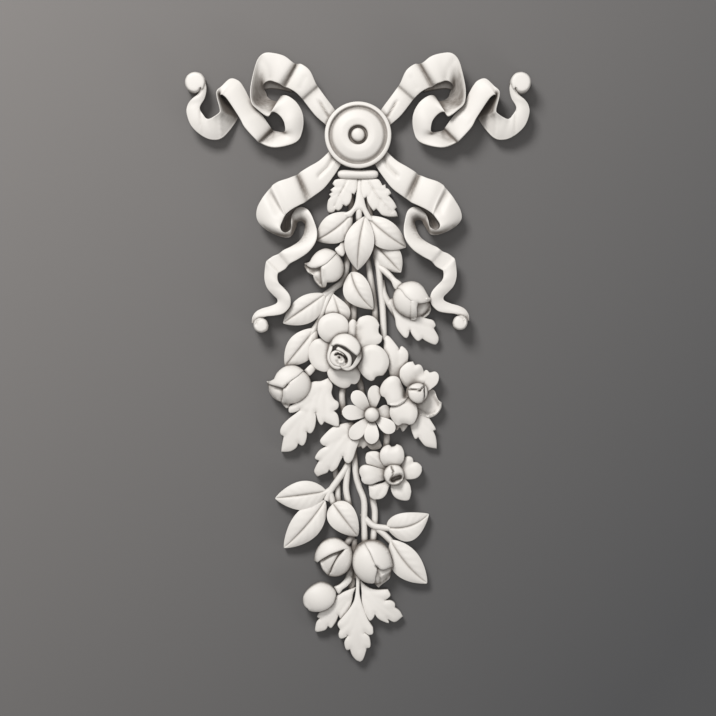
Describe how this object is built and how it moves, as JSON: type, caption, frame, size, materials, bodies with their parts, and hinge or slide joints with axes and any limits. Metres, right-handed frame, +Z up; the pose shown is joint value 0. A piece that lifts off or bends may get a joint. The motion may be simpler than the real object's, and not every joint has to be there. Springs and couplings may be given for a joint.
{
  "type": "polyurethane moulding",
  "caption": "Cast wall applique: a ribbon bow round a turned rosette over a long drop of leaves, buds and flowers, flat behind.",
  "frame": {"origin": "centre of the rosette on the flat back face that lies on the wall", "axes": "+Z up the wall, +X to the viewer's right, +Y into the wall, so the carved front faces -Y"},
  "size_m": [0.3456, 0.037, 0.61],
  "materials": {
    "casting": "off-white primed cast polyurethane, matte"
  },
  "bodies": {
    "root": {"moulding_casting": "casting"}
  },
  "joints": []
}
